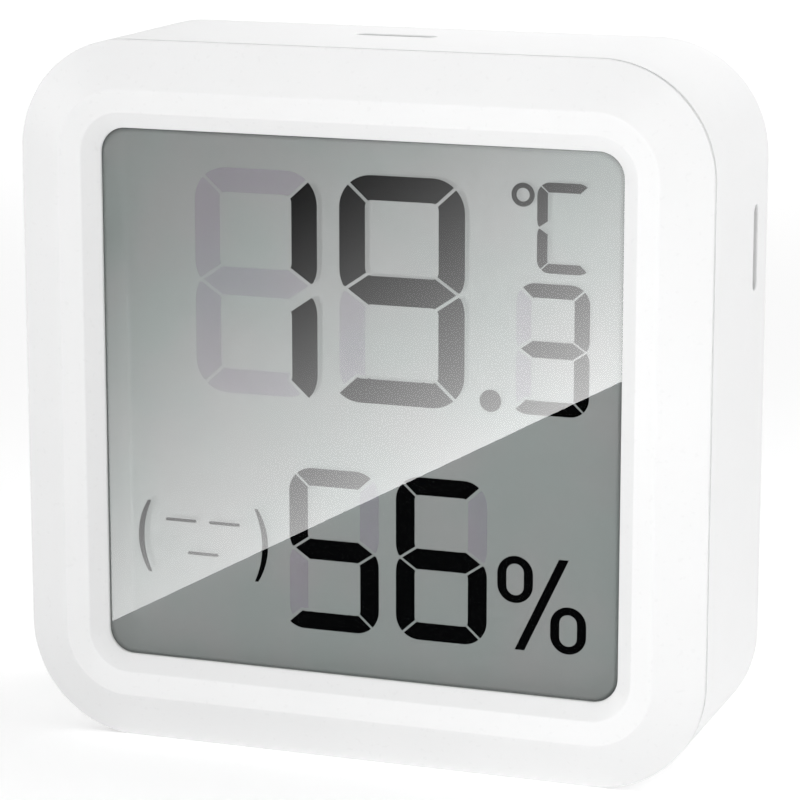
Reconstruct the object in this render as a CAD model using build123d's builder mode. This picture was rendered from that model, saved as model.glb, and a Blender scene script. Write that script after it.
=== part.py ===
from build123d import *
from math import sqrt
import os

# A small square room sensor for temperature and humidity. A shallow front bezel frames a clear
# window over a reflective display, and a deep rear housing holds the board, a coin cell, a
# twist-off battery door and one push button. X runs across, Y from the front to the back and Z
# up. The origin is on the table under the middle of the body. Lengths are millimetres. A depth
# is measured backwards from the seam between the bezel and the housing.

# Outer form
body_side = 43.0
corner_radius = 6.8
tightest_corner = 0.5
bezel_rise = 1.4
back_edge_radius = 0.4
seam_gap = 0.2
seam_inset = 0.3
cut_overrun = 1.0

# Front bezel
edge_land = 0.12
bevel_run = 2.88
rim_run = 1.375
rim_dip = 0.325
slope_run = 0.995
slope_drop = 0.73
window_land = 0.125
rim_edge_radius = 0.15
skirt_thickness = 0.9
skirt_length = 2.1
skirt_clearance = 0.1
hook_length = 8.0
hook_height = 0.6
hook_reach = 0.3
hook_clearance = 0.1

# Window and display stack, from the front to the back
tape_thickness = 0.1
tape_setback = 0.03
lens_thickness = 0.5
lens_overlap = 0.75
lens_clearance = 0.08
polariser_gap = 0.02
polariser_thickness = 0.12
polariser_setback = 0.1
glass_thickness = 0.4
glass_side_overlap = 1.05
glass_end_overlap = 0.7
contact_ledge = 1.45
ledge_corner_cut = 1.6
fluid_gap = 0.03
seal_width = 0.2
reflector_thickness = 0.15
reflector_setback = 0.1
glass_play = 0.05

# Figures and signs on the display
tall_figure_height = 13.66
middle_figure_height = 10.01
small_figure_height = 7.79
unit_figure_height = 5.3
across_bar = 1.47
upright_bar = 1.61
waist_bar = 1.71
figure_bend = 2.01
figure_hole_bend = 0.42
bar_gap = 0.2
open_foot_reach = 0.7
lone_bar_drop = 0.6
point_radius = 0.665
degree_radius = 0.7
degree_stroke = 0.3
percent_ring_width = 2.21
percent_ring_height = 2.87
percent_side_stroke = 0.56
percent_end_stroke = 0.47
percent_slash_width = 0.6
percent_slash_run = 2.7
percent_slash_rise = 5.73
percent_ring_across = 3.3
percent_ring_up = 2.84
face_width = 8.55
face_height = 4.53
bracket_bulge = 0.65
bracket_stroke = 0.37
bracket_tip = 0.22
dash_length = 2.03
dash_stroke = 0.19
eye_spacing = 2.86
eye_lift = 1.16
mouth_drop = 0.86

# Figure widths as shares of their heights, and middles as shares of the window's side
figure_width_share = 0.572
unit_width_share = 0.617
tall_row_share = 0.2208
middle_row_share = -0.2743
tens_across_share = -0.2102
ones_across_share = 0.0739
point_across_share, point_up_share = 0.2439, 0.0325
tenths_across_share, tenths_up_share = 0.3602, 0.1328
unit_across_share, unit_up_share = 0.3796, 0.3533
degree_across_share, degree_up_share = 0.3026, 0.4106
damp_tens_across_share = -0.0591
damp_ones_across_share = 0.1509
percent_across_share, percent_up_share = 0.3439, -0.3397
face_across_share, face_up_share = -0.3225, -0.2778

# Display carrier and contact strip
carrier_clearance = 0.15
carrier_wall = 1.2
carrier_floor = 0.8
carrier_play = 0.1
boss_wall = 0.8
boss_height = 2.05
strip_end_setback = 0.2
strip_ledge_margin = 0.075
strip_wall = 0.6
strip_play = 0.05
pad_width = 0.7
pad_count = 24
copper_thickness = 0.05

# Board, its screws and the parts soldered to it
board_thickness = 1.0
board_clearance = 1.3
screw_setback = 6.9
screw_radius = 0.8
screw_length = 3.0
screw_clearance = 0.05
screw_end_gap = 0.2
screw_head_radius = 1.4
screw_head_height = 0.8
screw_slot_width = 0.35
screw_slot_depth = 0.4
chip_side = 4.0
chip_height = 0.85
chip_edge = 0.1
chip_mark_radius = 0.25
crystal_width = 3.2
crystal_length = 2.5
crystal_height = 0.7
sensor_side = 2.5
sensor_height = 0.9
sensor_port_radius = 0.45
sensor_port_depth = 0.3
isolation_slot_width = 0.8
isolation_slot_length = 3.6
isolation_slot_gap = 0.65
capacitor_length = 1.6
capacitor_width = 0.8
capacitor_height = 0.8
capacitor_pitch = 1.9
capacitor_count = 4
resistor_length = 1.0
resistor_width = 0.5
resistor_height = 0.35
resistor_pitch = 1.1
resistor_count = 3
antenna_stroke = 0.5
antenna_pitch = 1.1
antenna_reach = 3.4
antenna_rows = 9

# Middles of the parts on the board as shares of the body's side
chip_up_share = 0.05
crystal_up_share = 0.15
capacitor_up_share = -0.115
antenna_up_share = 0.07
sensor_up_share = 0.38
resistor_across_share, resistor_up_share = 0.16, 0.37

# Coin cell and its bay
bay_drop = 2.0
can_radius = 10.0
cell_height = 3.2
can_wall = 0.3
can_lip_width = 0.75
can_lip_setback = 0.2
cap_wall = 0.25
cap_skirt_gap = 0.2
cap_skirt_step = 0.45
gasket_width = 0.35
gasket_proud = 0.1
separator_thickness = 0.05
lithium_thickness = 0.6
pellet_clearance = 0.05
cell_play = 0.2
cell_board_gap = 1.25
cell_end_gap = 0.1
bay_ledge_overlap = 0.5
bay_wall = 1.0
bay_board_gap = 0.2
contact_thickness = 0.2
contact_width = 4.0
contact_touch_gap = 0.05
contact_foot_length = 2.6
leaf_run = 2.2
leaf_tip_run = 1.4
leaf_tip_dip = 0.5
contact_slot_clearance = 0.4

# Battery door
door_lip = 0.3
door_disc_thickness = 0.8
door_recess = 0.1
door_seat_gap = 0.05
door_clearance = 0.1
pilot_step = 0.7
pilot_wall = 1.6
pilot_hollow_depth = 0.9
lug_reach = 1.3
lug_thickness = 0.93
lug_gap = 0.07
lug_count = 3
lug_arc = 30.0
door_turn = 40.0
lug_play_arc = 0.6
first_lug_angle = 90.0
coin_slot_length = 13.0
coin_slot_width = 1.7
coin_slot_depth = 1.0
door_edge_radius = 0.15
mark_radius = 0.45
mark_depth = 0.15
mark_setback = 1.5

# Rear housing
wall = 1.3
back_wall = 1.65
vent_length = 5.1
vent_width = 1.0
vent_edge_radius = 0.1
top_vent_shift = -0.3
top_vent_depth_share = 0.587
side_vent_depth_share = 0.758
side_vent_up_share = 0.222
post_radius = 1.1
post_across_share = 0.395
post_up_share = 0.302

# Push button and the switch under it
button_across_share, button_up_share = -0.21, 0.344
button_radius = 1.6
button_recess = 0.1
button_clearance = 0.1
button_edge_radius = 0.25
button_flange_reach = 0.7
button_flange_thickness = 0.8
button_flange_gap = 0.1
button_stem_radius = 0.9
button_travel = 0.3
guide_wall = 0.8
guide_length = 1.8
switch_side = 3.2
switch_height = 1.2
switch_edge = 0.15
plunger_radius = 0.7
plunger_clearance = 0.08
plunger_height = 0.5
plunger_engagement = 0.5
plunger_floor_gap = 0.1

# Places and sizes that follow from the ones above: first the bezel and the display stack
centre_z = body_side / 2
rim_outer_depth = -bezel_rise
rim_inner_depth = rim_outer_depth + rim_dip
window_edge_depth = rim_inner_depth + slope_drop
window_inset = bevel_run + rim_run + slope_run
window_side = body_side - 2 * window_inset
tape_depth = window_edge_depth + window_land
lens_depth = tape_depth + tape_thickness
lens_back_depth = lens_depth + lens_thickness
polariser_depth = lens_back_depth + polariser_gap
front_glass_depth = polariser_depth + polariser_thickness
fluid_depth = front_glass_depth + glass_thickness
rear_glass_depth = fluid_depth + fluid_gap
reflector_depth = rear_glass_depth + glass_thickness
reflector_back_depth = reflector_depth + reflector_thickness
bezel_seat_depth = front_glass_depth - glass_play
glass_width = window_side + 2 * glass_side_overlap
glass_height = window_side + 2 * glass_end_overlap
lens_inset = window_inset - lens_overlap
skirt_inset = wall + skirt_clearance
hook_depth = bezel_seat_depth + skirt_length / 2

# Carrier, contact strip and board
carrier_inset = skirt_inset + skirt_thickness + carrier_clearance
carrier_floor_depth = reflector_back_depth + glass_play
carrier_back_depth = carrier_floor_depth + carrier_floor
boss_radius = screw_radius + boss_wall
strip_drop = (glass_height + contact_ledge) / 2
strip_length = glass_width - 2 * (ledge_corner_cut + strip_end_setback)
strip_width = contact_ledge - 2 * strip_ledge_margin
pad_pitch = strip_length / pad_count
board_depth = carrier_back_depth + boss_height
board_back_depth = board_depth + board_thickness
board_inset = wall + board_clearance
screw_pitch = body_side - 2 * screw_setback
isolation_slot_spacing = sensor_side + isolation_slot_width + 2 * isolation_slot_gap
contact_strip_place = (0, -strip_drop)
sensor_place = (0, sensor_up_share * body_side)

# Coin cell
cell_front_depth = board_back_depth + cell_board_gap
cell_back_depth = cell_front_depth + cell_height
can_front_depth = cell_front_depth + can_lip_setback
can_lip_radius = can_radius - can_lip_width
can_bore_radius = can_radius - can_wall
can_floor_depth = cell_back_depth - can_wall
lip_back_depth = can_front_depth + can_wall
cap_radius = can_lip_radius - gasket_width
flange_radius = cap_radius + cap_skirt_step
flange_front_depth = lip_back_depth + cap_wall
skirt_end_depth = can_floor_depth - cap_skirt_gap
cap_floor_depth = cell_front_depth + cap_wall
separator_depth = cap_floor_depth + lithium_thickness
cathode_depth = separator_depth + separator_thickness
pellet_radius = cap_radius - cap_wall - pellet_clearance

# Spring leaves that touch the cell
foot_line_depth = board_back_depth + contact_thickness / 2
touch_setback = contact_touch_gap + contact_thickness / 2
cap_touch_depth = cell_front_depth - touch_setback
can_touch_up = -bay_drop - can_radius - touch_setback
can_touch_depth = (can_front_depth + cell_back_depth) / 2

# Cell bay, battery door and the back of the housing
bay_place = (0, -bay_drop)
bay_radius = can_radius + cell_play
bay_front_depth = board_back_depth + bay_board_gap
pilot_radius = bay_radius + pilot_step
lug_radius = pilot_radius + lug_reach
door_radius = lug_radius + door_lip
door_hole_radius = pilot_radius + door_clearance
lug_hole_radius = lug_radius + door_clearance
bay_outer_radius = lug_hole_radius + bay_wall
pilot_end_depth = cell_back_depth + cell_end_gap
groove_floor_depth = pilot_end_depth - lug_gap
lug_outer_depth = pilot_end_depth + lug_thickness
back_inner_depth = lug_outer_depth + lug_gap
rear_depth = back_inner_depth + back_wall
door_outer_depth = rear_depth - door_recess
disc_inner_depth = door_outer_depth - door_disc_thickness
door_seat_depth = disc_inner_depth - door_seat_gap
lug_start_arc = lug_arc / 2 + lug_play_arc
first_notch_angle = first_lug_angle - door_turn
post_spread_across = 2 * post_across_share * body_side
post_spread_up = 2 * post_up_share * body_side
contact_slot_width = contact_width + 2 * contact_slot_clearance
contact_slot_depth = can_touch_depth + leaf_tip_run / 2 + contact_slot_clearance
side_column_across = (bay_outer_radius + body_side / 2 - board_inset) / 2

# Push button and its switch
button_place = (button_across_share * body_side, button_up_share * body_side)
button_flange_radius = button_radius + button_flange_reach
flange_depth = back_inner_depth - button_flange_gap
plunger_top_depth = board_back_depth + switch_height + plunger_height

# Whole body
front_y = -(bezel_rise + rear_depth) / 2
seam_y = front_y + bezel_rise
bay_plane = Plane(origin=(0, seam_y, centre_z - bay_drop), x_dir=(0, 1, 0), z_dir=(1, 0, 0))
bay_axis = Axis((0, seam_y, centre_z - bay_drop), (0, 1, 0))


def at_depth(depth):
    """Sketch plane that faces the front, its x across and its y up from the body's middle."""
    return Plane(origin=(0, seam_y + depth, centre_z), x_dir=(1, 0, 0), z_dir=(0, -1, 0))


def beside(across):
    """Sketch plane seen from the right, its x a depth behind the seam and its y up."""
    return Plane(origin=(across, seam_y, centre_z), x_dir=(0, 1, 0), z_dir=(1, 0, 0))


def body_outline(inset, mode=Mode.ADD):
    """Rounded square that follows the body's edge, drawn in by an inset."""
    side = body_side - 2 * inset
    return RectangleRounded(side, side, max(corner_radius - inset, tightest_corner), mode=mode)


def ring_sector(outer_radius, start_angle, arc):
    """Sector of a disc about the bay's axis, from a start angle through an arc in degrees."""
    with BuildSketch() as sector:
        with BuildLine():
            rim = CenterArc((0, 0), outer_radius, start_angle, arc)
            Line((0, 0), rim @ 0)
            Line(rim @ 1, (0, 0))
        make_face()
    return sector.sketch


def seven_segments(height, width):
    """The seven bars of one figure about its middle, keyed a to g as usual from the top."""
    scale = height / tall_figure_height
    across = across_bar * scale
    upright = upright_bar * scale
    waist = waist_bar * scale
    bend = figure_bend * scale
    hole_width = width - 2 * upright
    hole_top = height / 2 - across
    hole_height = hole_top - waist / 2
    cell = (height + waist) / 2
    # Two rounded cells share the middle bar, and their outlines cross at the waist
    waist_in = bend - sqrt(bend**2 - (bend - waist / 2) ** 2)
    with BuildSketch() as figure:
        with Locations((0, (height - cell) / 2), (0, (cell - height) / 2)):
            RectangleRounded(width, cell, bend)
        with Locations((0, (hole_top + waist / 2) / 2), (0, -(hole_top + waist / 2) / 2)):
            RectangleRounded(hole_width, hole_height, figure_hole_bend * scale, mode=Mode.SUBTRACT)
        for side in (-1, 1):
            for end in (-1, 1):
                corner = Vector(side * width / 2, end * height / 2)
                middle = Vector(side * (width / 2 - waist_in), 0)
                for start, stop in (
                    (corner, Vector(side * hole_width / 2, end * hole_top)),
                    (middle, Vector(side * hole_width / 2, end * waist / 2)),
                ):
                    reach = (stop - start).normalized() * bend
                    with BuildLine():
                        Line(start - reach, stop + reach)
                    trace(line_width=bar_gap * scale, mode=Mode.SUBTRACT)
    foot, low_a, low_b, bar, high_a, high_b, top = figure.faces().sort_by(Axis.Y)
    low_left, low_right = ShapeList([low_a, low_b]).sort_by(Axis.X)
    high_left, high_right = ShapeList([high_a, high_b]).sort_by(Axis.X)
    return dict(a=top, b=high_right, c=low_right, d=foot, e=low_left, f=high_left, g=bar)


def percent_sign():
    """Two upright rings with a slanting stroke between them, about the stroke's middle."""
    half_run = percent_slash_run / 2
    half_rise = percent_slash_rise / 2
    half_width = percent_slash_width / 2
    with BuildSketch() as sign:
        with BuildLine():
            Polyline(
                (-half_run - half_width, -half_rise),
                (-half_run + half_width, -half_rise),
                (half_run + half_width, half_rise),
                (half_run - half_width, half_rise),
                close=True,
            )
        make_face()
        ring_places = [
            (-percent_ring_across / 2, percent_ring_up / 2),
            (percent_ring_across / 2, -percent_ring_up / 2),
        ]
        with Locations(*ring_places):
            SlotOverall(percent_ring_height, percent_ring_width, rotation=90)
        with Locations(*ring_places):
            SlotOverall(
                percent_ring_height - 2 * percent_end_stroke,
                percent_ring_width - 2 * percent_side_stroke,
                rotation=90,
                mode=Mode.SUBTRACT,
            )
    return sign.sketch


def comfort_sign():
    """Two brackets around three dashes, about the middle of the sign."""
    with BuildSketch() as bracket:
        with BuildLine():
            tip_in = face_width / 2 - bracket_bulge
            outer = ThreePointArc(
                (tip_in, -face_height / 2), (face_width / 2, 0), (tip_in, face_height / 2)
            )
            inner = ThreePointArc(
                (tip_in - bracket_tip, -face_height / 2),
                (face_width / 2 - bracket_stroke, 0),
                (tip_in - bracket_tip, face_height / 2),
            )
            Line(outer @ 0, inner @ 0)
            Line(outer @ 1, inner @ 1)
        make_face()
    with BuildSketch() as sign:
        add(bracket.sketch)
        mirror(bracket.sketch, about=Plane.YZ)
        with Locations((-eye_spacing / 2, eye_lift), (eye_spacing / 2, eye_lift), (0, -mouth_drop)):
            SlotOverall(dash_length, dash_stroke)
    return sign.sketch


# Bezel: a bevelled rounded square, dished towards the window and skirted behind
with BuildPart() as front_bezel:
    with BuildSketch(at_depth(0)):
        body_outline(0)
    extrude(amount=edge_land)
    with BuildSketch(at_depth(-edge_land)):
        body_outline(0)
    with BuildSketch(at_depth(rim_outer_depth)):
        body_outline(bevel_run)
    loft(ruled=True)
    with BuildSketch(at_depth(rim_outer_depth)):
        body_outline(bevel_run)
    with BuildSketch(at_depth(rim_inner_depth)):
        body_outline(bevel_run + rim_run)
    loft(ruled=True, mode=Mode.SUBTRACT)
    with BuildSketch(at_depth(rim_inner_depth)):
        body_outline(bevel_run + rim_run)
    with BuildSketch(at_depth(window_edge_depth)):
        body_outline(window_inset)
    loft(ruled=True, mode=Mode.SUBTRACT)
    with BuildSketch(at_depth(bezel_seat_depth)):
        body_outline(skirt_inset)
    extrude(amount=bezel_seat_depth)
    with BuildSketch(at_depth(bezel_seat_depth)):
        body_outline(window_inset)
    extrude(amount=bezel_seat_depth - window_edge_depth, mode=Mode.SUBTRACT)
    with BuildSketch(at_depth(bezel_seat_depth)):
        body_outline(lens_inset - lens_clearance)
    extrude(amount=bezel_seat_depth - tape_depth, mode=Mode.SUBTRACT)
    with BuildSketch(at_depth(bezel_seat_depth + skirt_length)):
        body_outline(skirt_inset)
        body_outline(skirt_inset + skirt_thickness, mode=Mode.SUBTRACT)
    extrude(amount=skirt_length)
    with BuildSketch(at_depth(hook_depth + hook_height / 2)):
        with PolarLocations(body_side / 2 - skirt_inset, 4):
            Rectangle(2 * hook_reach, hook_length)
    extrude(amount=hook_height)
    rim_edges = front_bezel.edges().group_by(Axis.Y)[0]
    fillet(rim_edges, rim_edge_radius)

with BuildPart() as lens_tape:
    with BuildSketch(at_depth(lens_depth)):
        body_outline(lens_inset)
        body_outline(window_inset - tape_setback, mode=Mode.SUBTRACT)
    extrude(amount=tape_thickness)

with BuildPart() as window_lens:
    with BuildSketch(at_depth(lens_back_depth)):
        body_outline(lens_inset)
    extrude(amount=lens_thickness)

# Display: two glass plates with the liquid crystal between them and a film on either side
with BuildPart() as front_polariser:
    with BuildSketch(at_depth(front_glass_depth)):
        body_outline(lens_inset + polariser_setback)
    extrude(amount=polariser_thickness)

with BuildPart() as front_glass:
    with BuildSketch(at_depth(fluid_depth)) as front_glass_outline:
        with Locations((0, -contact_ledge / 2)):
            Rectangle(glass_width, glass_height + contact_ledge)
        chamfer(front_glass_outline.vertices().group_by(Axis.Y)[0], ledge_corner_cut)
    extrude(amount=glass_thickness)

with BuildPart() as edge_seal:
    with BuildSketch(at_depth(rear_glass_depth)):
        Rectangle(glass_width, glass_height)
        Rectangle(glass_width - 2 * seal_width, glass_height - 2 * seal_width, mode=Mode.SUBTRACT)
    extrude(amount=fluid_gap)

with BuildPart() as rear_glass:
    with BuildSketch(at_depth(reflector_depth)):
        Rectangle(glass_width, glass_height)
    extrude(amount=glass_thickness)

with BuildPart() as reflector_film:
    with BuildSketch(at_depth(reflector_back_depth)):
        Rectangle(glass_width - 2 * reflector_setback, glass_height - 2 * reflector_setback)
    extrude(amount=reflector_thickness)

# Each figure: its lit bars, its middle across and up, its height, its width and if idle bars show
figures = [
    ("bc", tens_across_share, tall_row_share, tall_figure_height, figure_width_share, True),
    ("abcdfg", ones_across_share, tall_row_share, tall_figure_height, figure_width_share, True),
    ("abcdg", tenths_across_share, tenths_up_share, small_figure_height, figure_width_share, True),
    ("adef", unit_across_share, unit_up_share, unit_figure_height, unit_width_share, False),
    ("acdfg", damp_tens_across_share, middle_row_share, middle_figure_height, figure_width_share, True),
    ("acdefg", damp_ones_across_share, middle_row_share, middle_figure_height, figure_width_share, True),
]
lit_bars = []
idle_bars = []
for lit, across_share, up_share, height, width_share, idle_shows in figures:
    across = across_share * window_side
    up = up_share * window_side
    for name, bar in seven_segments(height, height * width_share).items():
        placed = bar.moved(Location((across, up, 0)))
        if name not in lit:
            if idle_shows:
                idle_bars.append(placed)
            continue
        if lit == "bc" and name == "c":
            # The lower bar of a lone one stands a little lower than in the other figures
            placed = placed.moved(Location((0, -lone_bar_drop, 0)))
        lit_bars.append(placed)
        if name == "d" and "e" not in lit:
            # A foot with no bar above its left end reaches further out
            reach = open_foot_reach * height / tall_figure_height
            lit_bars.append(placed.moved(Location((-reach, 0, 0))))

with BuildPart() as lit_segments:
    with BuildSketch(at_depth(rear_glass_depth)):
        add(lit_bars)
        with Locations((point_across_share * window_side, point_up_share * window_side)):
            Circle(point_radius)
        with Locations((degree_across_share * window_side, degree_up_share * window_side)):
            Circle(degree_radius)
            Circle(degree_radius - degree_stroke, mode=Mode.SUBTRACT)
        with Locations((percent_across_share * window_side, percent_up_share * window_side)):
            add(percent_sign())
        with Locations((face_across_share * window_side, face_up_share * window_side)):
            add(comfort_sign())
    extrude(amount=fluid_gap)

with BuildPart() as idle_segments:
    with BuildSketch(at_depth(rear_glass_depth)):
        add(idle_bars)
        offset(lit_bars, amount=bar_gap, mode=Mode.SUBTRACT)
    extrude(amount=fluid_gap)

# Carrier: holds the glass from behind, the contact strip in a slot and the board on four bosses
with BuildPart() as display_carrier:
    with BuildSketch(at_depth(board_depth)):
        body_outline(carrier_inset)
    extrude(amount=board_depth - bezel_seat_depth)
    with BuildSketch(at_depth(carrier_floor_depth)) as glass_pocket:
        with Locations((0, -contact_ledge / 2)):
            Rectangle(glass_width + 2 * carrier_play, glass_height + contact_ledge + 2 * carrier_play)
        chamfer(glass_pocket.vertices().group_by(Axis.Y)[0], ledge_corner_cut)
    extrude(amount=carrier_floor_depth - bezel_seat_depth, mode=Mode.SUBTRACT)
    with BuildSketch(at_depth(board_depth)):
        body_outline(carrier_inset + carrier_wall)
    extrude(amount=board_depth - carrier_back_depth, mode=Mode.SUBTRACT)
    with BuildSketch(at_depth(board_depth)):
        with Locations(contact_strip_place):
            Rectangle(
                strip_length + 2 * (strip_play + strip_wall), strip_width + 2 * (strip_play + strip_wall)
            )
        with GridLocations(screw_pitch, screw_pitch, 2, 2):
            Circle(boss_radius)
        body_outline(carrier_inset, mode=Mode.INTERSECT)
    extrude(amount=board_depth - carrier_floor_depth)
    with BuildSketch(at_depth(board_depth)):
        with Locations(contact_strip_place):
            Rectangle(strip_length + 2 * strip_play, strip_width + 2 * strip_play)
    extrude(amount=board_depth - carrier_floor_depth, mode=Mode.SUBTRACT)
    with BuildSketch(at_depth(board_depth)):
        with GridLocations(screw_pitch, screw_pitch, 2, 2):
            Circle(screw_radius + screw_clearance)
    extrude(amount=screw_length - board_thickness + screw_end_gap, mode=Mode.SUBTRACT)

with BuildPart() as contact_strip:
    with BuildSketch(at_depth(board_depth - copper_thickness)):
        with Locations(contact_strip_place):
            Rectangle(strip_length, strip_width)
    extrude(amount=board_depth - copper_thickness - fluid_depth)

# Board and the parts soldered to its back
with BuildPart() as circuit_board:
    with BuildSketch(at_depth(board_back_depth)):
        body_outline(board_inset)
        with GridLocations(screw_pitch, screw_pitch, 2, 2):
            Circle(screw_radius + screw_clearance, mode=Mode.SUBTRACT)
        with Locations(sensor_place):
            with GridLocations(isolation_slot_spacing, 0, 2, 1):
                SlotOverall(
                    isolation_slot_length, isolation_slot_width, rotation=90, mode=Mode.SUBTRACT
                )
    extrude(amount=board_thickness)

with BuildPart() as display_pads:
    with BuildSketch(at_depth(board_depth)):
        with Locations(contact_strip_place):
            with GridLocations(pad_pitch, 0, pad_count, 1):
                Rectangle(pad_width, strip_width)
    extrude(amount=copper_thickness)

with BuildPart() as board_screws:
    with BuildSketch(at_depth(board_back_depth + screw_head_height)):
        with GridLocations(screw_pitch, screw_pitch, 2, 2):
            Circle(screw_head_radius)
    extrude(amount=screw_head_height)
    fillet(board_screws.edges().group_by(Axis.Y)[-1], screw_head_height / 3)
    with BuildSketch(at_depth(board_back_depth)):
        with GridLocations(screw_pitch, screw_pitch, 2, 2):
            Circle(screw_radius)
    extrude(amount=screw_length)
    with BuildSketch(at_depth(board_back_depth + screw_head_height)):
        with GridLocations(screw_pitch, screw_pitch, 2, 2):
            Rectangle(2 * screw_radius, screw_slot_width)
            Rectangle(screw_slot_width, 2 * screw_radius)
    extrude(amount=screw_slot_depth, mode=Mode.SUBTRACT)

with BuildPart() as radio_chip:
    with BuildSketch(at_depth(board_back_depth + chip_height)):
        with Locations((side_column_across, chip_up_share * body_side)):
            Rectangle(chip_side, chip_side)
    extrude(amount=chip_height)
    chamfer(radio_chip.edges().group_by(Axis.Y)[-1], chip_edge)
    with BuildSketch(at_depth(board_back_depth + chip_height)):
        with Locations((side_column_across, chip_up_share * body_side)):
            with Locations((chip_side / 4, chip_side / 4)):
                Circle(chip_mark_radius)
    extrude(amount=chip_edge, mode=Mode.SUBTRACT)

with BuildPart() as timing_crystal:
    with BuildSketch(at_depth(board_back_depth + crystal_height)):
        with Locations((side_column_across, crystal_up_share * body_side)):
            RectangleRounded(crystal_width, crystal_length, crystal_length / 8)
    extrude(amount=crystal_height)
    chamfer(timing_crystal.edges().group_by(Axis.Y)[-1], chip_edge)

with BuildPart() as humidity_sensor:
    with BuildSketch(at_depth(board_back_depth + sensor_height)):
        with Locations(sensor_place):
            Rectangle(sensor_side, sensor_side)
    extrude(amount=sensor_height)
    chamfer(humidity_sensor.edges().group_by(Axis.Y)[-1], chip_edge)
    with BuildSketch(at_depth(board_back_depth + sensor_height)):
        with Locations(sensor_place):
            Circle(sensor_port_radius)
    extrude(amount=sensor_port_depth, mode=Mode.SUBTRACT)

with BuildPart() as capacitors:
    with BuildSketch(at_depth(board_back_depth + capacitor_height)):
        with Locations((side_column_across, capacitor_up_share * body_side)):
            with GridLocations(0, capacitor_pitch, 1, capacitor_count):
                Rectangle(capacitor_length, capacitor_width)
    extrude(amount=capacitor_height)

with BuildPart() as resistors:
    with BuildSketch(at_depth(board_back_depth + resistor_height)):
        with Locations((resistor_across_share * body_side, resistor_up_share * body_side)):
            with GridLocations(0, resistor_pitch, 1, resistor_count):
                Rectangle(resistor_length, resistor_width)
    extrude(amount=resistor_height)

# Antenna: a copper line that winds to and fro up the board's edge
antenna_points = []
for row in range(antenna_rows):
    row_up = antenna_up_share * body_side + (row - antenna_rows // 2) * antenna_pitch
    reach = antenna_reach / 2 if row % 2 else -antenna_reach / 2
    antenna_points.append((reach - side_column_across, row_up))
    antenna_points.append((-reach - side_column_across, row_up))
with BuildPart() as antenna_trace:
    with BuildSketch(at_depth(board_back_depth + copper_thickness)):
        with BuildLine():
            Polyline(*antenna_points)
        trace(line_width=antenna_stroke)
    extrude(amount=copper_thickness)

# Coin cell, turned about the bay's axis: profiles run along the depth and the radius
with BuildPart() as cell_can:
    with BuildSketch(bay_plane):
        with BuildLine():
            Polyline(
                (cell_back_depth, 0),
                (cell_back_depth, can_radius),
                (can_front_depth, can_radius),
                (can_front_depth, can_lip_radius),
                (lip_back_depth, can_lip_radius),
                (lip_back_depth, can_bore_radius),
                (can_floor_depth, can_bore_radius),
                (can_floor_depth, 0),
                close=True,
            )
        make_face()
    revolve(axis=bay_axis)
    fillet(cell_can.edges().group_by(Axis.Y)[-1], can_wall / 2)

with BuildPart() as cell_cap:
    with BuildSketch(bay_plane):
        with BuildLine():
            Polyline(
                (cell_front_depth, 0),
                (cell_front_depth, cap_radius),
                (flange_front_depth, cap_radius),
                (flange_front_depth, flange_radius),
                (skirt_end_depth, flange_radius),
                (skirt_end_depth, flange_radius - cap_wall),
                (flange_front_depth + cap_wall, flange_radius - cap_wall),
                (flange_front_depth + cap_wall, cap_radius - cap_wall),
                (cap_floor_depth, cap_radius - cap_wall),
                (cap_floor_depth, 0),
                close=True,
            )
        make_face()
    revolve(axis=bay_axis)

with BuildPart() as cell_gasket:
    with BuildSketch(bay_plane):
        with BuildLine():
            Polyline(
                (can_front_depth - gasket_proud, cap_radius),
                (can_front_depth - gasket_proud, can_lip_radius),
                (lip_back_depth, can_lip_radius),
                (lip_back_depth, can_bore_radius),
                (can_floor_depth, can_bore_radius),
                (can_floor_depth, flange_radius - cap_wall),
                (skirt_end_depth, flange_radius - cap_wall),
                (skirt_end_depth, flange_radius),
                (flange_front_depth, flange_radius),
                (flange_front_depth, cap_radius),
                close=True,
            )
        make_face()
    revolve(axis=bay_axis)

with BuildPart() as lithium_disc:
    with BuildSketch(at_depth(separator_depth)):
        with Locations(bay_place):
            Circle(pellet_radius)
    extrude(amount=lithium_thickness)

with BuildPart() as cell_separator:
    with BuildSketch(at_depth(cathode_depth)):
        with Locations(bay_place):
            Circle(pellet_radius)
    extrude(amount=separator_thickness)

with BuildPart() as cathode_pellet:
    with BuildSketch(at_depth(can_floor_depth)):
        with Locations(bay_place):
            Circle(pellet_radius)
    extrude(amount=can_floor_depth - cathode_depth)

# Spring leaves: a soldered foot, a rise to the cell and a tip that bends away again
with BuildPart() as negative_contact:
    with BuildSketch(beside(-contact_width / 2)):
        with BuildLine():
            Polyline(
                (foot_line_depth, -bay_drop - leaf_run - contact_foot_length),
                (foot_line_depth, -bay_drop - leaf_run),
                (cap_touch_depth, -bay_drop),
                (cap_touch_depth - leaf_tip_dip, -bay_drop + leaf_tip_run),
            )
        trace(line_width=contact_thickness)
    extrude(amount=contact_width)

with BuildPart() as positive_contact:
    with BuildSketch(beside(-contact_width / 2)):
        with BuildLine():
            Polyline(
                (foot_line_depth, can_touch_up - leaf_tip_dip - contact_foot_length),
                (foot_line_depth, can_touch_up - leaf_tip_dip),
                (can_touch_depth, can_touch_up),
                (can_touch_depth + leaf_tip_run / 2, can_touch_up - leaf_tip_dip),
            )
        trace(line_width=contact_thickness)
    extrude(amount=contact_width)

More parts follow.
